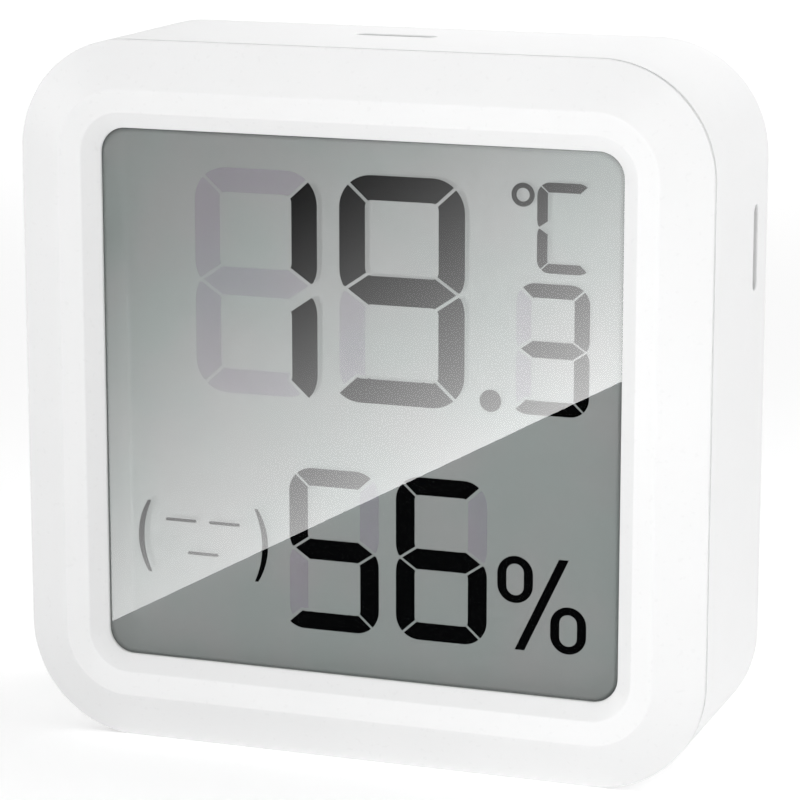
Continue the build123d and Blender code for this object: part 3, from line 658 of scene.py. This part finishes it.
class ModelledPiece:
    """A piece shaped with the modelling operators from a flat rounded square."""

    weld = 0.0005 * MM
    smooth_up_to = math.radians(35)
    edge_segments = 3

    def __init__(self, name: str, centre: Vector, side: float, corner: float, segments: int) -> None:
        """Adds the rounded square.

        Args:
            name: The piece's name.
            centre: The middle of the square, which faces the front.
            side: Its side.
            corner: Its corner radius.
            segments: How many faces each rounded corner has.
        """
        self.centre = centre
        self.half_side = side / 2
        self.corner = corner
        bpy.ops.object.select_all(action="DESELECT")
        bpy.ops.mesh.primitive_plane_add(size=side, location=centre, rotation=(math.pi / 2, 0, 0))
        self.shape = bpy.context.object
        self.shape.name = name
        bpy.ops.object.transform_apply(location=True, rotation=True, scale=True)
        bpy.ops.object.mode_set(mode="EDIT")
        bpy.ops.mesh.select_all(action="SELECT")
        bpy.ops.mesh.bevel(offset=corner, segments=segments, affect="VERTICES")

    def pick(
        self,
        wanted: Callable[[bmesh.types.BMFace | bmesh.types.BMEdge], bool],
        element: Element = Element.FACES,
    ) -> int:
        """Selects the faces or the edges that a test accepts, and nothing else.

        Args:
            wanted: The test.
            element: Which of the two it is for.

        Returns:
            How many are selected.
        """
        bpy.ops.mesh.select_mode(type=element.value)
        bpy.ops.mesh.select_all(action="DESELECT")
        work = bmesh.from_edit_mesh(self.shape.data)
        every = work.faces if element is Element.FACES else work.edges
        chosen = [part for part in every if wanted(part)]
        for part in chosen:
            part.select_set(True)
        bmesh.update_edit_mesh(self.shape.data)
        return len(chosen)

    def inset(self, inwards: float, outwards: float) -> None:
        """Draws the selected face in, and raises it along its normal at the same time."""
        bpy.ops.mesh.inset(thickness=inwards, depth=outwards)

    def extrude(self, shift: float | Vector) -> None:
        """Extrudes the selected face along Y, or as a vector says."""
        value = shift if isinstance(shift, Vector) else (0, shift, 0)
        bpy.ops.mesh.extrude_region_move(TRANSFORM_OT_translate={"value": value})

    def inset_of(self, point: Vector) -> float:
        """Finds how far a point lies inside the piece's rounded outline.

        Args:
            point: The point.

        Returns:
            The distance inwards, along X and Z.
        """
        straight = self.half_side - self.corner
        across = abs(point.x - self.centre.x) - straight
        up = abs(point.z - self.centre.z) - straight
        outside = math.hypot(max(across, 0.0), max(up, 0.0)) + min(max(across, up), 0.0)
        return self.corner - outside

    def round_loop(self, depth: float, inset: float, width: float) -> None:
        """Rounds the edges of one loop of the profile.

        Args:
            depth: The loop's place along Y.
            inset: Its distance inwards from the outline.
            width: How far the rounding reaches.
        """

        def on_loop(edge: bmesh.types.BMEdge) -> bool:
            """Tells whether an edge lies on the loop."""
            ends = [(vert.co.y - depth, self.inset_of(vert.co) - inset) for vert in edge.verts]
            return all(abs(off) < NEAR for end in ends for off in end)

        if self.pick(on_loop, Element.EDGES):
            bpy.ops.mesh.bevel(offset=width, segments=self.edge_segments, affect="EDGES")

    def finish(self) -> bpy.types.Object:
        """Closes the mesh, turns its faces outwards and smooths its curved ones.

        Returns:
            The finished object.
        """
        bpy.ops.mesh.select_all(action="SELECT")
        bpy.ops.mesh.remove_doubles(threshold=self.weld)
        bpy.ops.mesh.normals_make_consistent(inside=False)
        bpy.ops.object.mode_set(mode="OBJECT")
        bpy.ops.object.shade_smooth_by_angle(angle=self.smooth_up_to)
        weighted = self.shape.modifiers.new("even faces", "WEIGHTED_NORMAL")
        weighted.keep_sharp = True
        bpy.ops.object.modifier_apply(modifier=weighted.name)
        return self.shape


@dataclass
class FrontBezel:
    """White front frame: a wide bevel, a narrow dished rim and a slope down to the window.

    A groove runs round it at the seam, between its lip and the rear housing.
    """

    seam: float
    centre_z: float
    side: float
    corner: float = 6.8 * MM
    segments: int = 24
    groove_width: float = 0.2 * MM
    groove_depth: float = 0.25 * MM
    lip: float = 0.04 * MM
    bevel_run: float = 2.88 * MM
    bevel_rise: float = 1.16 * MM
    rim_run: float = 1.375 * MM
    rim_dip: float = 0.325 * MM
    slope_run: float = 0.995 * MM
    slope_drop: float = 0.73 * MM
    window_land: float = 0.125 * MM
    skirt_inset: float = 1.4 * MM
    skirt_wall: float = 0.9 * MM
    skirt_depth: float = 2.57 * MM
    seat_depth: float = 0.47 * MM
    lens_inset: float = 4.42 * MM
    hook_length: float = 8.0 * MM
    hook_height: float = 0.6 * MM
    hook_reach: float = 0.3 * MM
    hook_depth: float = 1.52 * MM
    crest_softness: float = 0.05 * MM
    edge_softness: float = 0.03 * MM
    window_softness: float = 0.08 * MM
    back_weld: float = 0.002 * MM

    @property
    def window_inset(self) -> float:
        """Distance from the body's side to the window's edge."""
        return self.bevel_run + self.rim_run + self.slope_run

    def profile(self) -> dict[str, tuple[float, float, float]]:
        """Works out the front profile's loops.

        Returns:
            Each loop's place along Y, its inset and how far it is rounded, by its name.
        """
        edge = self.seam - self.groove_width - self.lip
        crest = edge - self.bevel_rise
        rim = crest + self.rim_dip
        return {
            "crest": (crest, self.bevel_run, self.crest_softness),
            "edge": (edge, 0.0, self.edge_softness),
            "rim": (rim, self.bevel_run + self.rim_run, self.crest_softness),
            "window": (rim + self.slope_drop, self.window_inset, self.window_softness),
        }

    def model(self) -> bpy.types.Object:
        """Models the bezel as one closed shell.

        Returns:
            The bezel's object.
        """
        centre = Vector((0, self.seam - self.groove_width, self.centre_z))
        piece = ModelledPiece("bezel_shell", centre, self.side, self.corner, self.segments)
        piece.extrude(-self.lip)
        piece.inset(self.bevel_run, self.bevel_rise)
        piece.inset(self.rim_run, -self.rim_dip)
        piece.inset(self.slope_run, -self.slope_drop)
        piece.extrude(self.window_land)
        bpy.ops.mesh.delete(type="ONLY_FACE")
        self.model_back(piece)
        self.model_hooks(piece)
        for loop in self.profile().values():
            piece.round_loop(*loop)
        return piece.finish()

    def model_back(self, piece: ModelledPiece) -> None:
        """Models the skirt and the window's pocket from the back face inwards.

        Args:
            piece: The bezel with its front modelled.
        """
        behind_lip = self.seam - self.groove_width

        def on_back(face: bmesh.types.BMFace) -> bool:
            """Tells whether a face is the back one."""
            return face.normal.y > FACING and abs(face.calc_center_median().y - behind_lip) < NEAR

        back_of_land = self.profile()["window"][0] + self.window_land
        piece.pick(on_back)
        seat_wall = self.lens_inset - self.skirt_inset - self.skirt_wall
        for inwards, shift in (
            (self.groove_depth, self.groove_width),
            (self.skirt_inset - self.groove_depth, self.skirt_depth),
            (self.skirt_wall, self.seat_depth - self.skirt_depth),
            (seat_wall, back_of_land - self.seam - self.seat_depth),
        ):
            piece.inset(inwards, 0.0)
            piece.extrude(shift)
        piece.inset(self.window_inset - self.lens_inset, 0.0)
        bpy.ops.mesh.delete(type="ONLY_FACE")
        bpy.ops.mesh.select_all(action="SELECT")
        bpy.ops.mesh.remove_doubles(threshold=self.back_weld)

    def model_hooks(self, piece: ModelledPiece) -> None:
        """Raises one snap hook from the middle of each side of the skirt.

        Args:
            piece: The bezel with its back modelled.
        """
        half_skirt = self.side / 2 - self.skirt_inset
        middle = self.seam + self.hook_depth
        for x, z in ((1, 0), (-1, 0), (0, 1), (0, -1)):
            outwards, along = Vector((x, 0, z)), Vector((z, 0, x))

            def on_skirt(face: bmesh.types.BMFace, out: Vector = outwards) -> bool:
                """Tells whether a face is on this side of the skirt."""
                spot = face.calc_center_median() - piece.centre
                return face.normal.dot(out) > FACING and abs(spot.dot(out) - half_skirt) < 5 * NEAR

            for spot, normal in (
                (piece.centre + along * self.hook_length / 2, along),
                (piece.centre - along * self.hook_length / 2, along),
                (Vector((0, middle + self.hook_height / 2, 0)), Vector((0, 1, 0))),
                (Vector((0, middle - self.hook_height / 2, 0)), Vector((0, 1, 0))),
            ):
                piece.pick(on_skirt)
                bpy.ops.mesh.bisect(plane_co=spot, plane_no=normal)

            def on_hook(face: bmesh.types.BMFace, out: Vector = outwards, way: Vector = along) -> bool:
                """Tells whether a face is the part of the skirt that the hook rises from."""
                off = face.calc_center_median() - Vector((0, middle, piece.centre.z))
                inside = abs(off.dot(way)) < self.hook_length / 2 and abs(off.y) < self.hook_height / 2
                return on_skirt(face, out) and inside

            piece.pick(on_hook)
            piece.extrude(outwards * self.hook_reach)

    def dress(self, finish: Finish) -> None:
        """Models the bezel in place of its solid and gives it its plastic.

        Args:
            finish: The plastic.
        """
        piece = self.model()
        piece.data.materials.append(finish.material())
        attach(piece, "housing")
        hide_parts("front_bezel")
        log.info("bezel_shell: %d faces", len(piece.data.polygons))


@dataclass
class WindowLens:
    """Clear window: a polished sheet with softened front edges and a narrow dark line round its opening.
    """

    low: Vector
    high: Vector
    half_opening: float
    opening_corner: float = 1.55 * MM
    corner: float = 2.3 * MM
    segments: int = 12
    edge_softness: float = 0.05 * MM

    def dress(self) -> bpy.types.Object:
        """Models the window in place of its solid and gives it its finish.

        Returns:
            The window's object.
        """
        centre = Vector((0, self.low.y, (self.low.z + self.high.z) / 2))
        side = self.high.x - self.low.x
        piece = ModelledPiece("window_pane", centre, side, self.corner, self.segments)
        piece.extrude(self.high.y - self.low.y)
        piece.round_loop(self.low.y, 0.0, self.edge_softness)
        shape = piece.finish()
        pane = WindowPane("window plastic", centre, self.half_opening, self.opening_corner, self.low.y)
        shape.data.materials.append(pane.material())
        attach(shape, "housing")
        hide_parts("window_lens")
        pass_light(shape)
        log.info("window_pane: %d faces", len(shape.data.polygons))
        return shape


def pass_light(layer: bpy.types.Object) -> None:
    """Lets the light that falls on the display through a layer."""
    layer.visible_shadow = False
    layer.visible_diffuse = False


def dress_nodes(finish: Finish, *names: str) -> None:
    """Gives CAD nodes a finish, with one material for all of them.

    Args:
        finish: The finish.
        names: The nodes.
    """
    material = finish.material()
    for name in names:
        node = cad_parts[name]
        node.data.materials.clear()
        node.data.materials.append(material)
        log.info("%s: %s", name, material.name)


@dataclass
class Dressed:
    """A sub-assembly whose pieces keep their CAD shapes: each finish with the nodes that have it."""

    finishes: Finishes

    def dress(self) -> None:
        """Gives each piece its finish."""
        for finish, *names in self.finishes:
            dress_nodes(finish, *names)


@dataclass
class Display(Dressed):
    """The layers behind the window, from the tape round it to the film at the back."""

    finishes: Finishes = (
        (ThinWeave("adhesive tape", (0.75, 0.75, 0.72), Weave.FINE_PAPER, 0.08 * MM), "lens_tape"),
        (ClearSheet("polariser film", (0.3, 0.33, 0.31), 0.0015), "front_polariser"),
        (ClearSheet("display glass", (0.42, 0.5, 0.46), 0.001, 0.03), "front_glass", "rear_glass"),
        (MouldedPlastic("seal resin", (0.5, 0.48, 0.42), 0.3, 0.1 * MM), "edge_seal"),
        (LiquidCrystal("dark liquid crystal", (0.0006, 0.0006, 0.0008), 1.0, 0.0), "lit_segments"),
        (LiquidCrystal("idle liquid crystal", (0.1, 0.012, 0.135), 0.095), "idle_segments"),
        (ReflectorFilm("reflector film"), "reflector_film"),
    )
    before_film: tuple[str, ...] = (
        "front_polariser", "front_glass", "rear_glass", "lit_segments", "idle_segments"
    )

    def dress(self) -> None:
        """Gives each layer its finish, and keeps those before the film from shading it."""
        super().dress()
        for name in self.before_film:
            pass_light(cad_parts[name])

    def layers(self) -> tuple[bpy.types.Object, ...]:
        """Returns the layers that are seen through the window."""
        return tuple(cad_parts[name] for name in (*self.before_film, "reflector_film"))


@dataclass
class Board(Dressed):
    """The circuit board and what is soldered, screwed or pressed to it."""

    finishes: Finishes = (
        (MouldedPlastic("carrier plastic", (0.72, 0.72, 0.7), 0.5), "display_carrier"),
        (LayeredRubber("contact rubber"), "contact_strip"),
        (BoardLaminate("board laminate"), "circuit_board"),
        (PlatedMetal("plated copper", (0.85, 0.56, 0.22), 0.25), "display_pads", "antenna_trace"),
        (PlatedMetal("screw steel", (0.62, 0.62, 0.6), 0.3), "board_screws"),
        (MouldedPlastic("chip plastic", (0.016, 0.016, 0.018), 0.55, 0.05 * MM, 0.003 * MM), "radio_chip"),
        (PlatedMetal("crystal can", (0.72, 0.7, 0.64), 0.25, Polish.BRUSHED_ACROSS), "timing_crystal"),
        (MouldedPlastic("sensor plastic", (0.03, 0.03, 0.032), 0.45, 0.06 * MM), "humidity_sensor"),
        (MouldedPlastic("switch plastic", (0.05, 0.05, 0.052), 0.4, 0.08 * MM), "switch_body"),
        (MouldedPlastic("plunger plastic", (0.5, 0.045, 0.03), 0.35, 0.08 * MM), "switch_plunger"),
    )
    chips: tuple[tuple[str, str, Colour, float], ...] = (
        ("capacitors", "capacitor ceramic", (0.42, 0.3, 0.2), 0.35 * MM),
        ("resistors", "resistor ceramic", (0.02, 0.02, 0.022), 0.22 * MM),
    )

    def dress(self) -> None:
        """Gives each piece its finish, and the chip parts ceramic bodies with tinned ends."""
        super().dress()
        for node, name, body, cap_length in self.chips:
            low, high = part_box(node)
            middle, half_length = (low.x + high.x) / 2, (high.x - low.x) / 2
            dress_nodes(EndCappedCeramic(name, body, middle, half_length, cap_length), node)


@dataclass
class CoinCell(Dressed):
    """The coin cell's pieces and the two leaves that touch it."""

    finishes: Finishes = (
        (PlatedMetal("cell steel", (0.66, 0.65, 0.62), 0.24, Polish.BRUSHED_UP), "cell_can", "cell_cap"),
        (MouldedPlastic("gasket plastic", (0.55, 0.55, 0.53), 0.4), "cell_gasket"),
        (PressedGrain("lithium", (0.6, 0.6, 0.61), 0.2 * MM, 0.004 * MM, 0.4, 1.0), "lithium_disc"),
        (ThinWeave("separator cloth", (0.8, 0.8, 0.78), Weave.GLASS_CLOTH, 0.12 * MM), "cell_separator"),
        (PressedGrain("cathode pellet", (0.03, 0.03, 0.032)), "cathode_pellet"),
        (
            PlatedMetal("contact steel", (0.7, 0.68, 0.62), 0.22, Polish.BRUSHED_UP),
            "negative_contact",
            "positive_contact",
        ),
    )


@dataclass
class RearCase:
    """The rear housing, its battery door and its push button, all of the same white plastic."""

    nodes: tuple[str, ...] = ("rear_housing", "battery_door", "push_button")

    def dress(self, finish: Finish) -> None:
        """Gives the rear pieces the case's plastic."""
        dress_nodes(finish, *self.nodes)


class Reach(Enum):
    """Which pieces a light falls on, and how the display's layers are linked to it for that."""

    ALL_BUT_DISPLAY = "EXCLUDE"
    DISPLAY = "INCLUDE"


def receivers(name: str, pieces: tuple[bpy.types.Object, ...], link_state: str) -> bpy.types.Collection:
    """Gathers the pieces that a light falls on, or the only ones that it misses.

    Args:
        name: The light's name.
        pieces: The pieces.
        link_state: Whether they are the light's own or are left out of it.

    Returns:
        The collection to link to the light.
    """
    group = bpy.data.collections.new(f"{name} receivers")
    for piece in pieces:
        group.objects.link(piece)
    for member in group.collection_objects:
        member.light_linking.link_state = link_state
    return group


@dataclass(frozen=True)
class SoftLight:
    """One soft area light: where it stands, how large and strong it is and what it falls on."""

    name: str
    place: tuple[float, float, float]
    size: float
    power: float
    reach: Reach = Reach.ALL_BUT_DISPLAY
    glossy: bool = True
    diffuse: bool = True

    def add(self, target: Vector, display: tuple[bpy.types.Object, ...]) -> None:
        """Adds the light.

        Args:
            target: The point that it is turned to.
            display: The display's layers.
        """
        data = bpy.data.lights.new(self.name, "AREA")
        data.shape = "SQUARE"
        data.size = self.size
        data.energy = self.power
        lamp = bpy.data.objects.new(self.name, data)
        lamp.location = self.place
        lamp.rotation_mode = "QUATERNION"
        lamp.rotation_quaternion = (target - Vector(self.place)).to_track_quat("-Z", "Y")
        lamp.visible_camera = False
        lamp.visible_glossy = self.glossy
        lamp.visible_diffuse = self.diffuse
        bpy.context.scene.collection.objects.link(lamp)
        lamp.light_linking.receiver_collection = receivers(self.name, display, self.reach.value)


@dataclass
class GlareCard:
    """A card that lies before the sensor and shows in the window above a diagonal.

    Its light side is graded and its dark side is black, and only the window and the film far
    behind it catch its light. The grading is set in the window's own coordinates, across and
    up from the window's middle, for an eye at the camera's place. Close to the left side the
    bezel hides the card from the film, and the window reflects the film's share instead, with
    a small extra lift: painted light over the shade along the display's left edge.
    """

    eye: Vector
    mirror_centre: Vector
    card_z: float = 0.3 * MM
    left_up: float = -14.45 * MM
    right_up: float = 3.05 * MM
    half_window: float = 16.25 * MM
    left_white: float = 0.65
    right_white: float = 0.82
    fall: float = 0.031 / MM
    gamma: float = 2.2
    window_reflectance: float = 0.099
    film_gain: float = 0.75
    film_limit: float = 0.77
    film_reflectance: float = 0.04
    layers_before_film: int = 6
    hidden_to: float = -15.05 * MM
    clear_from: float = -14.45 * MM
    # Painted lift of light in the window's reflection near the left edge, covering the shade there.
    edge_shade_lift: float = 0.012
    far: float = -2.5
    left: float = -0.6
    right: float = 1.2

    def grading(self, recipe: Recipe) -> tuple[Wire, Wire, Wire]:
        """Works out the card's grading.

        Args:
            recipe: The card's recipe.

        Returns:
            The distance above the diagonal, how white the window looks there, up to one, and
            how much of the card the bezel hides from the film there.
        """
        across_card, along_card, _ = recipe.axes()
        stand_off = self.mirror_centre.y - self.eye.y
        drop = self.mirror_centre.z - self.card_z
        rise = self.eye.z - self.mirror_centre.z
        reach = (self.mirror_centre.y - along_card) / stand_off
        up = (rise * reach - drop) / (reach + 1)
        across = (across_card + self.eye.x * reach) / (reach + 1)
        slope = (self.right_up - self.left_up) / (2 * self.half_window)
        edge_up = (self.left_up + self.right_up) / 2 + slope * across
        distance = (up - edge_up) * math.cos(math.atan(slope))
        middle_white = (self.left_white + self.right_white) / 2
        tilt = (self.right_white - self.left_white) / (2 * self.half_window)
        white = (middle_white + tilt * across - self.fall * distance).at_least(0.0)
        return distance, white, 1.0 - across.ramp(self.hidden_to, self.clear_from)

    def material(self) -> bpy.types.Material:
        """Builds the card's light: graded on one side of the edge and black on the other.

        Returns:
            The material.
        """
        recipe = Recipe("glare card")
        distance, white, hidden = self.grading(recipe)
        layers = recipe.node("ShaderNodeLightPath", output="Transparent Depth")
        from_film = layers.above(self.layers_before_film)
        on_film = (self.film_gain * white * (self.film_limit - white)).at_least(0.0)
        # Near the left edge the window also carries the film's sheen that the bezel shades, plus a painted
        # lift over the edge shade.
        on_window = (white**self.gamma + hidden * (on_film + self.edge_shade_lift)) / self.window_reflectance
        level = on_window + from_film * (on_film / self.film_reflectance - on_window)
        return recipe.surface(recipe.glowing(BLACK, distance.above(0.0) * level))

    def add(self, pieces: tuple[bpy.types.Object, ...]) -> None:
        """Lays the card down.

        Args:
            pieces: The pieces that catch its light.
        """
        near = self.mirror_centre.y
        corners = [(self.left, self.far), (self.right, self.far), (self.right, near), (self.left, near)]
        mesh = bpy.data.meshes.new("glare_card")
        mesh.from_pydata([(x, y, self.card_z) for x, y in corners], [], [(0, 1, 2, 3)])
        card = bpy.data.objects.new("glare_card", mesh)
        card.data.materials.append(self.material())
        card.visible_camera = False
        card.visible_diffuse = False
        card.visible_shadow = False
        card.visible_transmission = False
        bpy.context.scene.collection.objects.link(card)
        card.light_linking.receiver_collection = receivers("glare card", pieces, "INCLUDE")


@dataclass
class Studio:
    """Pale floor, white surround, soft lights and the camera."""

    centre: Vector
    eye: tuple[float, float, float] = (68.48 * MM, -187.222 * MM, 64.537 * MM)
    pitch: float = 12.303
    yaw: float = 19.927
    focal_length: float = 151.32
    clip_start: float = 10 * MM
    floor_reach: float = 3.0
    floor_segments: int = 96
    floor_colour: Colour = (0.88, 0.88, 0.88)
    floor_lift: float = 0.47
    far_lift: float = 0.8
    lift_from: float = 60 * MM
    lift_to: float = 500 * MM
    paper_cloud: float = 20 * MM
    paper_shade: float = 0.99
    ambient: float = 0.32
    clear_bounces: int = 32
    lights: tuple[SoftLight, ...] = (
        SoftLight("right_rear", (0.5, 0.15, 0.05), 0.3, 1.6),
        SoftLight("left_front", (-0.4, -0.4, 0.2), 0.3, 0.33),
        SoftLight("left_low", (-0.45, -0.3, 0.03), 0.2, 0.545),
        SoftLight("front_low", (0.0, -0.4, 0.02), 0.2, 0.28),
        SoftLight("rear", (0.0, 0.7, 0.04), 0.4, 1.9, glossy=False),
        SoftLight("overhead", (0.01, 0.02, 0.1), 0.05, 0.0256, glossy=False),
        SoftLight("over_front", (0.0, -0.03, 0.07), 0.04, 0.0014, glossy=False),
        SoftLight("near_low", (0.027, -0.09, 0.003), 0.05, 0.0387, glossy=False),
        SoftLight("near_right", (0.07, -0.08, 0.003), 0.04, 0.0237, glossy=False),
        SoftLight("near_left", (-0.12, -0.1, 0.01), 0.05, 0.022, glossy=False),
        SoftLight("shine_right", (0.143, -0.547, 0.237), 0.12, 0.69, diffuse=False),
        SoftLight("shine_left", (-0.477, -0.337, 0.171), 0.12, 0.43, diffuse=False),
        SoftLight("display_front", (0.207, -0.554, 0.152), 0.1, 3.04, Reach.DISPLAY, glossy=False),
    )

    def add_floor(self) -> None:
        """Lays the floor: white to the camera where it is lit, darker in the sensor's shadow."""
        recipe = Recipe("studio floor")
        paper = recipe.noise(self.paper_cloud, 3.0)
        tone = recipe.blend(paper, shade(self.floor_colour, self.paper_shade), self.floor_colour)
        across, along, _ = recipe.axes()
        far = ((across * across + along * along) ** 0.5).ramp(self.lift_from, self.lift_to)
        lift = self.floor_lift + (self.far_lift - self.floor_lift) * far
        bpy.ops.object.select_all(action="DESELECT")
        bpy.ops.mesh.primitive_circle_add(
            vertices=self.floor_segments, radius=self.floor_reach, fill_type="NGON"
        )
        floor = bpy.context.object
        floor.name = "floor"
        floor.data.materials.append(recipe.surface(recipe.glowing(tone, recipe.seen() * lift)))

    def add_surround(self) -> None:
        """Makes the world white where it is seen, and an even soft light elsewhere."""
        recipe = Recipe("surround", bpy.data.worlds)
        level = self.ambient + (1.0 - self.ambient) * recipe.seen()
        back = recipe.node("ShaderNodeBackground", inputs={"Color": WHITE, "Strength": level})
        bpy.context.scene.world = recipe.surface(back, "ShaderNodeOutputWorld")

    def add_camera(self) -> None:
        """Puts the camera at the photograph's viewing angle."""
        data = bpy.data.cameras.new("camera")
        data.lens = self.focal_length
        data.clip_start = self.clip_start
        camera = bpy.data.objects.new("camera", data)
        camera.location = self.eye
        camera.rotation_euler = (math.radians(90 - self.pitch), 0, math.radians(self.yaw))
        bpy.context.scene.collection.objects.link(camera)
        bpy.context.scene.camera = camera

    def build(self, display: tuple[bpy.types.Object, ...]) -> None:
        """Sets up the whole studio.

        Args:
            display: The display's layers, which have a light of their own.
        """
        self.add_floor()
        self.add_surround()
        for light in self.lights:
            light.add(self.centre, display)
        self.add_camera()
        bpy.context.scene.view_settings.view_transform = "Standard"
        bpy.context.scene.cycles.transparent_max_bounces = self.clear_bounces


def main() -> None:
    """Dresses every piece in order, then sets up the studio."""
    logging.basicConfig(level=logging.INFO, format="%(name)s: %(message)s")
    housing_low, housing_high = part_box("rear_housing")
    body_side = housing_high.x - housing_low.x
    centre_z = (housing_low.z + housing_high.z) / 2
    case = MouldedPlastic("case plastic", (0.88, 0.881, 0.882))
    bezel = FrontBezel(housing_low.y, centre_z, body_side)
    bezel.dress(case)
    pane_low, pane_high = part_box("window_lens")
    window = WindowLens(pane_low, pane_high, body_side / 2 - bezel.window_inset).dress()
    display = Display()
    display.dress()
    Board().dress()
    CoinCell().dress()
    RearCase().dress(case)
    studio = Studio(Vector((0, 0, centre_z)))
    studio.build(display.layers())
    pane_centre = Vector((0, pane_low.y, centre_z))
    GlareCard(Vector(studio.eye), pane_centre).add((window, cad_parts["reflector_film"]))


if __name__ == "__main__":
    main()
